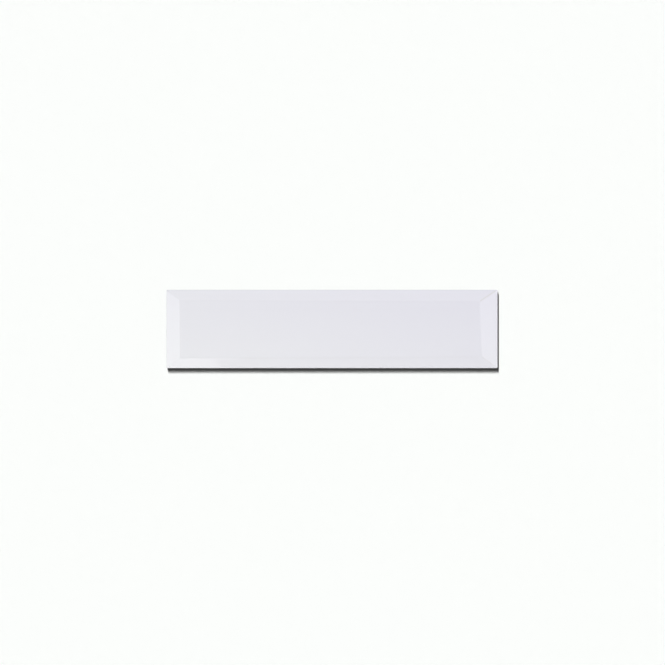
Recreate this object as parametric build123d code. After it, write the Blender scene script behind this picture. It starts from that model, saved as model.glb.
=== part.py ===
from build123d import *
import os
from math import radians, tan

# Bevelled ceramic wall tile, pressed, glazed and fired as one piece.
# It lies face up: +X runs along the tile, +Y across it and +Z out of the glazed face.
# The origin is the middle of the back, on the plane that the ribs of the back touch.
# Lengths are in millimetres and angles in degrees.

# Overall size
tile_length = 300.0
tile_width = 71.0
edge_height = 5.0  # from the back up to the outer edge of the bevels
bevel_rise = 3.0  # from that outer edge up to the flat of the face

# Bevels, as wide as they look from straight above
end_bevel = 13.5
side_bevel = 9.7

# Softened edges
arris_radius = 6.0  # where the flat and the bevels meet, and along the mitres
rim_radius = 0.5  # where the bevels turn down into the side walls
corner_radius = 0.8  # upright corners, seen from above
back_chamfer = 0.6  # round the outline of the back

# Side walls: a plumb land under the rim, then a lean towards the back that frees the tile from its die
land_height = 2.0
wall_draft = 4.0

# Keyed back: a lattice of ribs round shallow pockets, which the adhesive grips
pocket_pitch = 14.5  # the nearest pitch that fills the back evenly is used
pocket_depth = 0.8
pocket_corner = 1.5  # cut off each corner of a pocket
pocket_draft = 35.0
rib_width = 2.5
back_margin = 4.5  # plain border outside the pockets

# Sizes that follow from those above
thickness = edge_height + bevel_rise
flat_length = tile_length - 2 * end_bevel
flat_width = tile_width - 2 * side_bevel
draft_height = edge_height - land_height
wall_lean = (draft_height - back_chamfer) * tan(radians(wall_draft))
keyed_length = tile_length - 2 * (wall_lean + back_margin)
keyed_width = tile_width - 2 * (wall_lean + back_margin)


def bevelled_top():
    """The flat and its bevels, softened where they meet, with the slopes carried down to the back."""
    carry = thickness / bevel_rise
    with BuildPart() as top:
        with BuildSketch():
            Rectangle(flat_length + 2 * end_bevel * carry, flat_width + 2 * side_bevel * carry)
        with BuildSketch(Plane.XY.offset(thickness)):
            Rectangle(flat_length, flat_width)
        loft(ruled=True)
        foot = top.edges().group_by(Axis.Z)[0]
        fillet(top.edges() - foot, arris_radius)
    return top.part


def block():
    """The tile's outline with rounded corners: chamfered at the back, then leaning outwards, then plumb."""
    sections = (
        (0.0, wall_lean + back_chamfer),
        (back_chamfer, wall_lean),
        (draft_height, 0.0),
        (thickness, 0.0),
    )
    with BuildPart() as body:
        for height, inset in sections:
            with BuildSketch(Plane.XY.offset(height)):
                RectangleRounded(tile_length - 2 * inset, tile_width - 2 * inset, corner_radius)
        loft(ruled=True)
    return body.part


def pockets():
    """Tapered cutters for the keyed back, spread evenly over the area inside its border."""
    columns = max(1, round((keyed_length + rib_width) / pocket_pitch))
    rows = max(1, round((keyed_width + rib_width) / pocket_pitch))
    pitch_x = (keyed_length + rib_width) / columns
    pitch_y = (keyed_width + rib_width) / rows
    with BuildPart() as cutters:
        with BuildSketch() as mouths:
            with GridLocations(pitch_x, pitch_y, columns, rows):
                Rectangle(pitch_x - rib_width, pitch_y - rib_width)
            chamfer(mouths.vertices(), pocket_corner)
        extrude(amount=pocket_depth, taper=pocket_draft)
    return cutters.part


def wall_tile():
    """The whole tile: the block cut to its bevels, with a softened rim and a keyed back."""
    body, top = block(), bevelled_top()
    with BuildPart() as tile:
        add(body)
        add(top, mode=Mode.INTERSECT)
        fillet(new_edges(body, top, combined=tile.part), rim_radius)
        add(pockets(), mode=Mode.SUBTRACT)
    return tile.part


os.makedirs("parts", exist_ok=True)
export_step(wall_tile(), "parts/wall_tile.step")
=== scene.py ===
from math import cos, pi, radians, sin, sqrt, tan

import bpy
import numpy as np
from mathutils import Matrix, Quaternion, Vector


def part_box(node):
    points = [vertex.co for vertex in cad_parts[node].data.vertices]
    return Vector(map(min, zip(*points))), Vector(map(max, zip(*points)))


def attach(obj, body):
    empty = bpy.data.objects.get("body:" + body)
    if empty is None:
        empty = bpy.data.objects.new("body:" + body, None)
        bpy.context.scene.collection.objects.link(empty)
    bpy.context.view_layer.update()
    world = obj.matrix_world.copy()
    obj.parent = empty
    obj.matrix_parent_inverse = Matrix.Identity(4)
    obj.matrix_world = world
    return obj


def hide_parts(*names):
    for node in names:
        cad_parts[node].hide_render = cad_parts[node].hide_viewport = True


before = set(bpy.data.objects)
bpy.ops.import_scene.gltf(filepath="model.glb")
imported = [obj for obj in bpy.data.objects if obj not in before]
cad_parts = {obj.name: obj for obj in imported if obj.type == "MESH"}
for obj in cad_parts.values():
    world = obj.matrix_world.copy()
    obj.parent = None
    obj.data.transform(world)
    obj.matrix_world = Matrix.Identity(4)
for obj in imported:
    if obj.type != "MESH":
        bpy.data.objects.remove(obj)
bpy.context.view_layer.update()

# A white bevelled wall tile that lies face up on a plain white floor, seen from straight above.
# +X runs along the tile, +Y across it and +Z out of the glazed face, as in the frame.
# Sizes of the tile are in millimetres until its mesh is made. Its finish and the studio are in metres.
metre = 1000.0

# Overall size, from the frame
node_low, node_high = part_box("wall_tile")
tile_length, tile_width, thickness = (metre * size for size in node_high - node_low)

# Face: a flat inside four bevels, which slope down to the outer edge
edge_height = 5.0
bevel_rise = thickness - edge_height
# Corners of the flat: in from the tile's end, in from its long side, and how dark the mitre is painted
# there, as painted shade in the grey of thin glaze
front_left = (13.0, 9.1, 0.0)
front_right = (13.7, 10.2, 0.5)
back_right = (16.8, 10.6, 1.0)
back_left = (12.0, 9.7, 0.05)
# Arrises round the flat: how far to each side they are rounded, and how thin the glaze is there
front_arris = (1.6, 0.1)
right_arris = (0.9, 0.0)
back_arris = (0.9, 0.04)
left_arris = (0.5, 0.3)
bevel_depth = 0.1  # a place that is lower than the flat by more than this is on a bevel
ripple_height = 0.012  # slow waves that the glaze set with
ripple_lengths = (67, 48, 39, 31)
ripple_seed = 4

# Rim and side walls
rim_radius = 0.35
corner_radius = 0.8
draft_height = 3.0  # the wall is plumb above this and leans in below it
wall_draft = radians(4.0)
back_chamfer = 0.6
wall_lean = (draft_height - back_chamfer) * tan(wall_draft)
glaze_line = 2.5  # mean height at which the glaze ends on the wall
glaze_wander = 0.275
wander_lengths = (83, 37, 23, 15, 9)
wander_seed = 11
glaze_thickness = 0.14

# Keyed back: ribs round shallow pockets
columns, rows = 20, 4
back_margin = 4.5
rib_width = 2.5
pocket_depth = 0.8
pocket_corner = 2.2
pocket_draft = radians(35.0)
pocket_rounding = 0.25  # along the mouth and the foot of a pocket's walls
# Section of a pocket's wall between those roundings: shares of its run and of the pocket's depth
pocket_section = ((0.0, 0.08), (0.35, 0.35), (0.8, 0.8), (1.0, 0.94))

# How finely the mesh follows those shapes
cell_steps = 12  # points along each side of a pocket's cell
cell_corner_steps = 3
steps_x, steps_y = columns * cell_steps, rows * cell_steps
corner_steps = 4  # of a side's points, those in half of a corner
corner_spacing = 0.3  # between those points on the flat
bevel_rings = 14
ring_crowding = 1.6  # brings the bevels' rings closer together near the flat
rim_rings = 7
wall_rings = 4
lip_rings = 3
sharp_angle = radians(40.0)  # steeper turns between faces are shaded as edges

# Glaze: white, with painted light and shade: its colour drifts from lighter at the front left corner to
# darker and bluer at the back right one
glaze_lit_front_left = (0.814, 0.818, 0.841, 1)
glaze_shaded_back_right = (0.751, 0.745, 0.816, 1)
drift = (1.87, 6.3, 0.0)  # how far it goes in each metre along the tile, across it and up
drift_cloud = 0.073  # how far a slow noise moves it
# Grey of thin glaze on the arrises, also painted along the mitres as shade
thin_glaze = (0.66, 0.65, 0.66, 1)
glaze_roughness = (0.02, 0.05)
glaze_index = 1.5

# Biscuit, the bare fired body: ivory with darker specks
biscuit_dark = (0.60, 0.54, 0.45, 1)
biscuit_light = (0.74, 0.69, 0.60, 1)
biscuit_speck = (0.34, 0.28, 0.21, 1)
speck_reach = (0.10, 0.22)  # where a speck starts to fade and where it ends, as shares of a cell
speck_share = 0.35
biscuit_roughness = (0.78, 0.95)

# Noise of the finishes: its scale in waves to the metre, and its detail
cloud_noise = (22.0, 2.0)
roughness_noise = (60.0, 3.0)
peel_noise = (330.0, 1.0)
ivory_noise = (45.0, 5.0)
grain_noise = (900.0, 4.0)
speck_scale = 420.0  # cells to the metre, with a speck in each
# Relief: the orange peel of the glaze and the grain of the biscuit, as shares of one depth
peel_strength = 0.01
grain_strength = 0.5
relief_depth = 0.0002

# Floor, and a world that is white near the horizon and dim overhead where it is seen or mirrored
white = (0.974, 0.991, 0.974, 1)
floor_size = 60.0
ceiling_start, ceiling_end = 0.35, 0.62  # between these heights of a view's direction the white fades
horizon_strength, ceiling_strength = 1.0, 0.1
fill = 0.05  # light from all round on matt surfaces, as a share of white
fill_colour = (1, 1, 1, 1)

# Light on the floor: small suns at many heights behind the tile, which soften its shadow's front edge
suns = 13
sun_angle = radians(1.5)
shadow_right = 0.30  # how far to the right a shadow falls, for each unit of height
shadow_shortest = 0.30  # and how far towards the front, for the shortest of the suns' shadows
shadow_longest = 1.11  # and for the longest

# Light on the tile: a large lamp overhead, which isn't mirrored
overhead_place = (0.0, 0.9, 2.2)
overhead_size = 2.4
overhead_power = 27.2
# A box to the left and one to the right, which the end bevels mirror
box_tilt = radians(34.0)  # from straight above
box_distance = 1.6
box_width = 1.16
left_length = 1.3
left_back = 0.052  # where the box ends, just behind the tile
left_power = 10.66
right_length = 2.4
right_back = 1.2
right_power = 12.8
# A strip in front and one behind, which the front and back bevels mirror
strip_tilt = radians(35.0)
strip_distance = 2.0
strip_length = 2.0
strip_width = 0.6
front_strip_power = 2.1
back_strip_power = 2.79
# Small panels in front: the left part of the front bevel mirrors one, and the arris above it the other
panel_place = (-0.212, -0.423, 0.463)
panel_length = 0.20
panel_width = 0.10
panel_turn = radians(20.0)
panel_power = 0.0897
streak_place = (-0.153, -0.320, 0.524)
streak_length = 0.11
streak_width = 0.115
streak_power = 0.0692

# Camera straight above, with a long lens, framed as the photograph is
frame_pixels = 665.0
tile_pixels = 331.1  # the tile's length in the photograph
tile_middle = (332.0, 328.93)  # where its middle is there
lens = 200.0
sensor = 36.0


def waves(places, lengths, seed):
    """Smooth random waves of about unit height at the given places, one for each wavelength."""
    random = np.random.default_rng(seed)
    total = np.zeros(places.shape[:-1])
    for length in lengths:
        heading = random.uniform(0, 2 * pi)
        along = places @ np.array([np.cos(heading), np.sin(heading)])
        total += np.sin(2 * pi * along / length + random.uniform(0, 2 * pi))
    return total / sqrt(len(lengths))


def face_height(places):
    """Height of the glazed face at each place, and how much of the thin glaze's grey is there: thin
    glaze on the arrises, painted shade along the mitres.
    """
    x, y = places[..., 0], places[..., 1]
    across = x / tile_length + 0.5
    up = y / tile_width + 0.5
    sides = (
        (y + tile_width / 2, front_left[1], front_right[1], across, front_arris),
        (tile_length / 2 - x, front_right[0], back_right[0], up, right_arris),
        (tile_width / 2 - y, back_left[1], back_right[1], across, back_arris),
        (x + tile_length / 2, front_left[0], back_left[0], up, left_arris),
    )
    # Painted shade along the mitres, blended from the corners' values
    front_thinning = front_left[2] + (front_right[2] - front_left[2]) * across
    back_thinning = back_left[2] + (back_right[2] - back_left[2]) * across
    mitre_thinning = front_thinning + (back_thinning - front_thinning) * up
    height = np.full(x.shape, thickness)
    thin = np.zeros(x.shape)
    for inwards, first_width, last_width, share, (softness, arris_thinning) in sides:
        slope = bevel_rise / (first_width + (last_width - first_width) * share)
        bevel = edge_height + slope * inwards
        rounding = slope * softness
        overlap = np.maximum(1 - np.abs(height - bevel) / rounding, 0)
        on_bevel = height < thickness - bevel_depth
        thin = np.where(bevel < height - rounding, 0, thin)
        thin = np.maximum(thin, overlap * np.where(on_bevel, mitre_thinning, arris_thinning))
        height = np.minimum(height, bevel) - rounding * overlap**2 / 4
    # The highest that the waves can reach is brought to the level of the flat
    ripple = waves(places, ripple_lengths, ripple_seed) / sqrt(len(ripple_lengths))
    return height + ripple_height * (ripple - 1), thin


def rounded_loop(half_x, half_y, radius, along_x, along_y, turning):
    """Points round a rounded rectangle, from its front left corner, and their outward normals."""
    inner = np.array([half_x - radius, half_y - radius])
    corners = inner * np.array([(-1, -1), (1, -1), (1, 1), (-1, 1)])
    points, normals = [], []
    for side, steps in enumerate((along_x, along_y, along_x, along_y)):
        straight = steps - 2 * turning + 1
        turn = np.arange(turning) / turning
        facing = pi / 4 * np.concatenate([turn - 1, np.zeros(straight), turn[1:]]) + pi / 2 * (side - 1)
        share = np.concatenate([np.zeros(turning), np.linspace(0, 1, straight), np.ones(turning - 1)])
        middle = corners[side] + share[:, None] * (corners[(side + 1) % 4] - corners[side])
        normal = np.stack([np.cos(facing), np.sin(facing)], axis=1)
        points.append(middle + radius * normal)
        normals.append(normal)
    return np.concatenate(points), np.concatenate(normals)


def edge_of(grid):
    """The border of a grid, in the order of a loop from its front left corner."""
    return np.concatenate([grid[0, :-1], grid[:-1, -1], grid[-1, :0:-1], grid[:0:-1, 0]])


def spread(steps, length):
    """Shares from 0 to 1 along a side of the flat, closer together near its corners."""
    near = corner_spacing / length * np.arange(corner_steps + 1)
    middle = np.linspace(near[-1], 1 - near[-1], steps - 2 * corner_steps + 1)
    return np.concatenate([near[:-1], middle, 1 - near[-2::-1]])


class TileMesh:
    """Points and quads of the tile, gathered piece by piece."""

    def __init__(self):
        self.points, self.thin, self.quads, self.finish = [], [], [], []
        self.count = 0

    def add(self, places, heights, thin=0.0):
        """Adds points and returns their numbers, in the shape of the heights."""
        heights = np.asarray(heights, dtype=float)
        self.points.append(np.column_stack([places.reshape(-1, 2), heights.ravel()]))
        self.thin.append(np.broadcast_to(thin, heights.shape).ravel())
        numbers = self.count + np.arange(heights.size).reshape(heights.shape)
        self.count += heights.size
        return numbers

    def sheet(self, grid, finish, down=False):
        """Quads over a grid of point numbers, facing up unless down is set."""
        corners = [grid[:-1, :-1], grid[:-1, 1:], grid[1:, 1:], grid[1:, :-1]]
        quads = np.stack(corners, axis=-1).reshape(-1, 4)
        self.keep(quads[:, ::-1] if down else quads, finish)

    def strip(self, first, last, finish):
        """Quads between two loops, which face out where the loops go outwards and down."""
        ahead = np.roll(first, -1), np.roll(last, -1)
        self.keep(np.stack([first, last, ahead[1], ahead[0]], axis=-1), finish)

    def keep(self, quads, finish):
        """Stores quads with the number of their finish."""
        self.quads.append(quads)
        self.finish.append(np.full(len(quads), finish))


GLAZE, BISCUIT = 0, 1


def add_flat(tile):
    """The flat of the face. Returns the numbers and the places of its border."""
    inset = np.array([[front_left[:2], front_right[:2]], [back_left[:2], back_right[:2]]])
    signs = np.array([[(-1, -1), (1, -1)], [(-1, 1), (1, 1)]])
    corners = signs * (np.array([tile_length, tile_width]) / 2 - inset)
    share_x = spread(steps_x, tile_length)[None, :, None]
    share_y = spread(steps_y, tile_width)[:, None, None]
    front = corners[0, 0] + share_x * (corners[0, 1] - corners[0, 0])
    back = corners[1, 0] + share_x * (corners[1, 1] - corners[1, 0])
    flat = front + share_y * (back - front)
    grid = tile.add(flat, *face_height(flat))
    tile.sheet(grid, GLAZE)
    return edge_of(grid), edge_of(flat)


def add_bevels(tile, loop, normals, border, border_places):
    """The bevels and the rounded rim below them. Returns the rim's lower border and its heights."""
    inner = loop - rim_radius * normals
    height, _ = face_height(inner)
    slope = face_height(inner - normals)[0] - height  # over one millimetre inwards
    tilt = np.arctan(slope)
    centre = height - rim_radius / np.cos(tilt)
    foot = loop - (rim_radius * (1 - np.sin(tilt)))[:, None] * normals
    for share in np.linspace(0, 1, bevel_rings + 1)[1:-1] ** ring_crowding:
        places = border_places + share * (foot - border_places)
        ring = tile.add(places, *face_height(places))
        tile.strip(border, ring, GLAZE)
        border = ring
    for share in np.linspace(0, 1, rim_rings + 1):
        angle = tilt + share * (pi / 2 - tilt)
        places = loop - (rim_radius * (1 - np.sin(angle)))[:, None] * normals
        ring = tile.add(places, centre + rim_radius * np.cos(angle))
        tile.strip(border, ring, GLAZE)
        border = ring
    return border, centre


def add_wall(tile, loop, normals, border, top):
    """The side wall: glaze that ends in a rounded lip along a wandering line, then bare biscuit."""
    def wall_ring(height, depth, finish, border):
        drop = np.clip(draft_height - height, 0, draft_height - back_chamfer)
        inset = depth + drop * tan(wall_draft)
        ring = tile.add(loop - inset[:, None] * normals, height)
        tile.strip(border, ring, finish)
        return ring

    line = glaze_line + glaze_wander * waves(loop, wander_lengths, wander_seed)
    for share in np.linspace(0, 1, wall_rings + 1)[1:]:
        border = wall_ring(top + share * (line - top), 0.0, GLAZE, border)
    for turn in np.linspace(0, pi / 2, lip_rings + 1)[1:]:
        drop, depth = glaze_thickness * sin(turn), glaze_thickness * (1 - cos(turn))
        border = wall_ring(line - drop, depth, GLAZE, border)
    line = line - glaze_thickness
    for share in np.linspace(0, 1, wall_rings + 1)[1:]:
        border = wall_ring(line + share * (back_chamfer - line), glaze_thickness, BISCUIT, border)
    return wall_ring(np.zeros(len(loop)), glaze_thickness + back_chamfer, BISCUIT, border)


def pocket_rings(half_x, half_y):
    """Loops of one pocket, from its mouth in the back to its floor, as places and heights."""
    run = pocket_depth * tan(pocket_draft)
    section = [(-pocket_rounding, 0.0)]
    section += [(across * run, down * pocket_depth) for across, down in pocket_section]
    section += [(run + pocket_rounding, pocket_depth)]
    for inset, height in section:
        radius = max(pocket_corner - inset, pocket_rounding)
        half = half_x - inset, half_y - inset
        loop, _ = rounded_loop(*half, radius, cell_steps, cell_steps, cell_corner_steps)
        yield loop, height


def filled(loop):
    """A grid of places that fills a loop of a cell, with the loop as its border."""
    front, right, back, left = loop.reshape(4, cell_steps, 2)
    front = np.concatenate([front, right[:1]])
    right = np.concatenate([right, back[:1]])
    back = np.concatenate([left[:1], back[::-1]])
    left = np.concatenate([loop[:1], left[::-1]])
    u = np.linspace(0, 1, cell_steps + 1)[None, :, None]
    v = np.linspace(0, 1, cell_steps + 1)[:, None, None]
    ruled = (1 - v) * front + v * back + (1 - u) * left[:, None] + u * right[:, None]
    ends = (1 - v) * ((1 - u) * front[0] + u * front[-1]) + v * ((1 - u) * back[0] + u * back[-1])
    return ruled - ends


def add_pocket(tile, middle, half_x, half_y, border):
    """One pocket, from the ribs round it to its floor."""
    for loop, height in pocket_rings(half_x, half_y):
        ring = tile.add(middle + loop, np.full(len(loop), height))
        tile.strip(border, ring, BISCUIT)
        border = ring
    floor = np.empty((cell_steps + 1, cell_steps + 1), dtype=int)
    inside = filled(loop)[1:-1, 1:-1]
    floor[1:-1, 1:-1] = tile.add(middle + inside, np.full(inside.shape[:2], pocket_depth))
    floor[0, :-1], floor[:-1, -1], floor[-1, :0:-1], floor[:0:-1, 0] = border.reshape(4, cell_steps)
    tile.sheet(floor, BISCUIT, down=True)


def add_back(tile, border):
    """The keyed back: a plain border, ribs between the cells, and a pocket in each cell."""
    size = np.array([tile_length, tile_width]) - 2 * (wall_lean + back_margin) + rib_width
    pitch_x, pitch_y = size / (columns, rows)
    x = np.linspace(-size[0] / 2, size[0] / 2, steps_x + 1)
    y = np.linspace(-size[1] / 2, size[1] / 2, steps_y + 1)
    lattice = np.full((steps_y + 1, steps_x + 1), -1)
    on_rib = np.zeros(lattice.shape, dtype=bool)
    on_rib[::cell_steps] = True
    on_rib[:, ::cell_steps] = True
    places = np.stack(np.meshgrid(x, y), axis=-1)[on_rib]
    lattice[on_rib] = tile.add(places, np.zeros(len(places)))
    tile.strip(border, edge_of(lattice), BISCUIT)
    half_x, half_y = (pitch_x - rib_width) / 2, (pitch_y - rib_width) / 2
    for row in range(rows):
        for column in range(columns):
            middle_x = (column + 0.5 - columns / 2) * pitch_x
            middle_y = (row + 0.5 - rows / 2) * pitch_y
            first_x, first_y = column * cell_steps, row * cell_steps
            cell = lattice[first_y:first_y + cell_steps + 1, first_x:first_x + cell_steps + 1]
            add_pocket(tile, np.array([middle_x, middle_y]), half_x, half_y, edge_of(cell))


def tile_object(materials):
    """The whole tile as one closed mesh."""
    tile = TileMesh()
    half = tile_length / 2, tile_width / 2
    loop, normals = rounded_loop(*half, corner_radius, steps_x, steps_y, corner_steps)
    border, places = add_flat(tile)
    border, top = add_bevels(tile, loop, normals, border, places)
    border = add_wall(tile, loop, normals, border, top)
    add_back(tile, border)

    mesh = bpy.data.meshes.new("bevelled_tile")
    mesh.from_pydata(np.concatenate(tile.points) / metre, [], np.concatenate(tile.quads).tolist())
    for material in materials:
        mesh.materials.append(material)
    mesh.polygons.foreach_set("material_index", np.concatenate(tile.finish).astype(np.int32))
    # How much grey is painted at each point: thin glaze on the arrises, painted shade along the mitres
    thin = mesh.attributes.new("thin_glaze", "FLOAT", "POINT")
    thin.data.foreach_set("value", np.concatenate(tile.thin).astype(np.float32))
    mesh.shade_smooth()
    mesh.set_sharp_from_angle(angle=sharp_angle)
    mesh.update()
    return placed("bevelled_tile", mesh)


def placed(name, data):
    """An object of the scene with the given mesh, lamp or camera."""
    piece = bpy.data.objects.new(name, data)
    bpy.context.scene.collection.objects.link(piece)
    return piece


class Nodes:
    """The nodes of a material or world, and short ways to add to them."""

    def __init__(self, owner):
        owner.use_nodes = True
        self.nodes, self.links = owner.node_tree.nodes, owner.node_tree.links

    def add(self, kind, inputs, **settings):
        """Adds a node with its settings. Each input is a value, or the socket that feeds it."""
        node = self.nodes.new(kind)
        for name, value in settings.items():
            setattr(node, name, value)
        for name, value in inputs.items():
            self.feed(node, name, value)
        return node

    def feed(self, node, name, value):
        """Sets an input of a node to a value, or joins a socket to it."""
        if isinstance(value, bpy.types.NodeSocket):
            self.links.new(value, node.inputs[name])
        else:
            node.inputs[name].default_value = value

    def place(self, kind):
        """Where a point is on the object, or which way a view of the world goes."""
        return self.add("ShaderNodeTexCoord", {}).outputs[kind]

    def along(self, axis, place):
        """One coordinate of a place."""
        return self.add("ShaderNodeSeparateXYZ", {"Vector": place}).outputs[axis]

    def mapped(self, value, low, high, new_low, new_high, **settings):
        """A value that runs from low to high, brought to the range from new_low to new_high."""
        inputs = {"Value": value, "From Min": low, "From Max": high}
        inputs |= {"To Min": new_low, "To Max": new_high}
        return self.add("ShaderNodeMapRange", inputs, **settings).outputs["Result"]


class Finish(Nodes):
    """A material with one Principled shader, and short ways to feed it."""

    def __init__(self, name):
        self.material = bpy.data.materials.new(name)
        super().__init__(self.material)
        self.shader = self.nodes["Principled BSDF"]

    def give(self, **inputs):
        """Feeds inputs of the shader, whose names are written with _ for each space."""
        for name, value in inputs.items():
            self.feed(self.shader, name.replace("_", " "), value)

    def noise(self, scale, detail):
        """Noise over the object, from about 0 to 1. The scale is in waves to the metre."""
        inputs = {"Vector": self.place("Object"), "Scale": scale, "Detail": detail}
        return self.add("ShaderNodeTexNoise", inputs).outputs["Fac"]

    def mixed(self, share, first, second):
        """A colour between two others."""
        inputs = {"Factor": share, "A": first, "B": second}
        return self.add("ShaderNodeMix", inputs, data_type="RGBA").outputs["Result"]

    def relief(self, height, strength):
        """Normals that show a fine relief."""
        inputs = {"Height": height, "Strength": strength, "Distance": relief_depth}
        return self.add("ShaderNodeBump", inputs).outputs["Normal"]


def glaze_material():
    """Glossy white glaze, greyer where it is thin and along the mitres as painted shade, with a drift
    of colour that is painted light and shade, and faint orange peel.
    """
    finish = Finish("white_glaze_finish")
    inputs = {0: finish.place("Object"), 1: drift}
    slant = finish.add("ShaderNodeVectorMath", inputs, operation="DOT_PRODUCT").outputs["Value"]
    cloud = finish.noise(*cloud_noise)
    cloud = finish.mapped(cloud, 0.0, 1.0, 0.5 - drift_cloud, 0.5 + drift_cloud)
    share = finish.add("ShaderNodeMath", {0: slant, 1: cloud}, operation="ADD").outputs[0]
    # The drift between the two glaze colours is painted light and shade: lighter at the front left,
    # darker and bluer at the back right
    thick_glaze_lit_and_shaded = finish.mixed(share, glaze_lit_front_left, glaze_shaded_back_right)
    # Greyer where the glaze is thin on the arrises, and along the mitres as painted shade
    thin = finish.add("ShaderNodeAttribute", {}, attribute_name="thin_glaze").outputs["Fac"]
    finish.give(
        Base_Color=finish.mixed(thin, thick_glaze_lit_and_shaded, thin_glaze),
        Roughness=finish.mapped(finish.noise(*roughness_noise), 0.0, 1.0, *glaze_roughness),
        Normal=finish.relief(finish.noise(*peel_noise), peel_strength),
        IOR=glaze_index,
    )
    return finish.material


def biscuit_material():
    """Bare fired body: ivory, dull and grainy, with darker specks."""
    finish = Finish("ivory_biscuit_finish")
    ivory = finish.mixed(finish.noise(*ivory_noise), biscuit_dark, biscuit_light)
    inputs = {"Vector": finish.place("Object"), "Scale": speck_scale}
    cells = finish.add("ShaderNodeTexVoronoi", inputs)
    speck = finish.mapped(cells.outputs["Distance"], *speck_reach, speck_share, 0.0)
    grain = finish.noise(*grain_noise)
    finish.give(
        Base_Color=finish.mixed(speck, ivory, biscuit_speck),
        Roughness=finish.mapped(grain, 0.0, 1.0, *biscuit_roughness),
        Normal=finish.relief(grain, grain_strength),
    )
    return finish.material


def floor_object():
    """A wide matt white floor."""
    finish = Finish("floor")
    finish.give(Base_Color=white, Roughness=1.0, Specular_IOR_Level=0.0)
    half = floor_size / 2
    corners = [(-half, -half, 0), (half, -half, 0), (half, half, 0), (-half, half, 0)]
    mesh = bpy.data.meshes.new("floor")
    mesh.from_pydata(corners, [], [(0, 1, 2, 3)])
    mesh.materials.append(finish.material)
    return placed("floor", mesh)


def add_lamp(name, kind, place, aim, lit, turn=0.0, **settings):
    """A lamp at a place that points at another one and lights one object alone."""
    data = bpy.data.lights.new(name, kind)
    for key, value in settings.items():
        setattr(data, key, value)
    lamp = placed(name, data)
    lamp.location = place
    lamp.rotation_mode = "QUATERNION"
    facing = (Vector(place) - Vector(aim)).to_track_quat("Z", "Y")
    lamp.rotation_quaternion = facing @ Quaternion((0, 0, 1), turn)
    lamp.visible_camera = False
    receivers = bpy.data.collections.new(f"lit_by_{name}")
    receivers.objects.link(lit)
    lamp.light_linking.receiver_collection = receivers
    return lamp


def light_floor(floor):
    """Suns that together light the floor to its white, with fewer of them where shadows are short."""
    for number in range(suns):
        share = sqrt((number + 0.5) / suns)
        shadow_down = shadow_shortest + (shadow_longest - shadow_shortest) * share
        towards = Vector((-shadow_right, shadow_down, 1.0))
        energy = pi * (1 - fill) * towards.length / suns
        add_lamp(f"sun_{number}", "SUN", towards, (0, 0, 0), floor, energy=energy, angle=sun_angle)


def light_tile(tile):
    """The lamps that light the tile and that its bevels mirror."""
    def add_panel(name, place, aim, length, width, power, turn=0.0):
        size = {"shape": "RECTANGLE", "size": length, "size_y": width}
        return add_lamp(name, "AREA", place, aim, tile, turn, energy=power, **size)

    middle = (0, 0, 0)
    overhead = add_panel(
        "overhead", overhead_place, middle, overhead_size, overhead_size, overhead_power,
    )
    overhead.visible_glossy = False
    for name, side, length, back, power in (
        ("left_box", -1, left_length, left_back, left_power),
        ("right_box", 1, right_length, right_back, right_power),
    ):
        y = back - length / 2
        place = (side * box_distance * sin(box_tilt), y, box_distance * cos(box_tilt))
        add_panel(name, place, (0, y, 0), length, box_width, power)
    for name, side, power in (
        ("front_strip", -1, front_strip_power),
        ("back_strip", 1, back_strip_power),
    ):
        place = (0, side * strip_distance * sin(strip_tilt), strip_distance * cos(strip_tilt))
        add_panel(name, place, middle, strip_length, strip_width, power)
    for name, place, length, width, power, turn in (
        ("front_panel", panel_place, panel_length, panel_width, panel_power, panel_turn),
        ("arris_panel", streak_place, streak_length, streak_width, streak_power, 0.0),
    ):
        add_panel(name, place, (place[0], node_low[1], 0), length, width, power, turn)


def studio_world():
    """White near the horizon and dim overhead where it is seen or mirrored. Elsewhere, a weak fill."""
    world = bpy.data.worlds.new("studio")
    tree = Nodes(world)
    height = tree.along("Z", tree.place("Generated"))
    strength = tree.mapped(
        height, ceiling_start, ceiling_end, horizon_strength, ceiling_strength,
        interpolation_type="SMOOTHSTEP",
    )
    shown = tree.add("ShaderNodeBackground", {"Color": white, "Strength": strength})
    weak = tree.nodes["Background"]
    tree.feed(weak, "Color", fill_colour)
    tree.feed(weak, "Strength", fill)
    path = tree.add("ShaderNodeLightPath", {})
    seen = path.outputs["Is Camera Ray"]
    for ray in ("Is Glossy Ray", "Is Transmission Ray"):
        either = {0: seen, 1: path.outputs[ray]}
        seen = tree.add("ShaderNodeMath", either, operation="MAXIMUM").outputs[0]
    mix = tree.add("ShaderNodeMixShader", {"Fac": seen, 1: weak.outputs[0], 2: shown.outputs[0]})
    tree.feed(tree.nodes["World Output"], "Surface", mix.outputs[0])
    return world


def camera_object():
    """The camera, at the height from which the tile's outer edge has its size in the photograph."""
    data = bpy.data.cameras.new("camera")
    data.lens = lens
    data.sensor_width = sensor
    pixel = tile_length / tile_pixels
    camera = placed("camera", data)
    camera.location = (
        (frame_pixels / 2 - tile_middle[0]) * pixel / metre,
        (tile_middle[1] - frame_pixels / 2) * pixel / metre,
        (edge_height + frame_pixels * pixel * lens / sensor) / metre,
    )
    return camera


tile = tile_object((glaze_material(), biscuit_material()))
tile.visible_diffuse = False  # the tile throws no light on the floor, which would grey its shadow
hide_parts("wall_tile")
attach(tile, "root")
floor = floor_object()
light_floor(floor)
light_tile(tile)

scene = bpy.context.scene
scene.world = studio_world()
scene.camera = camera_object()
scene.view_settings.view_transform = "Standard"
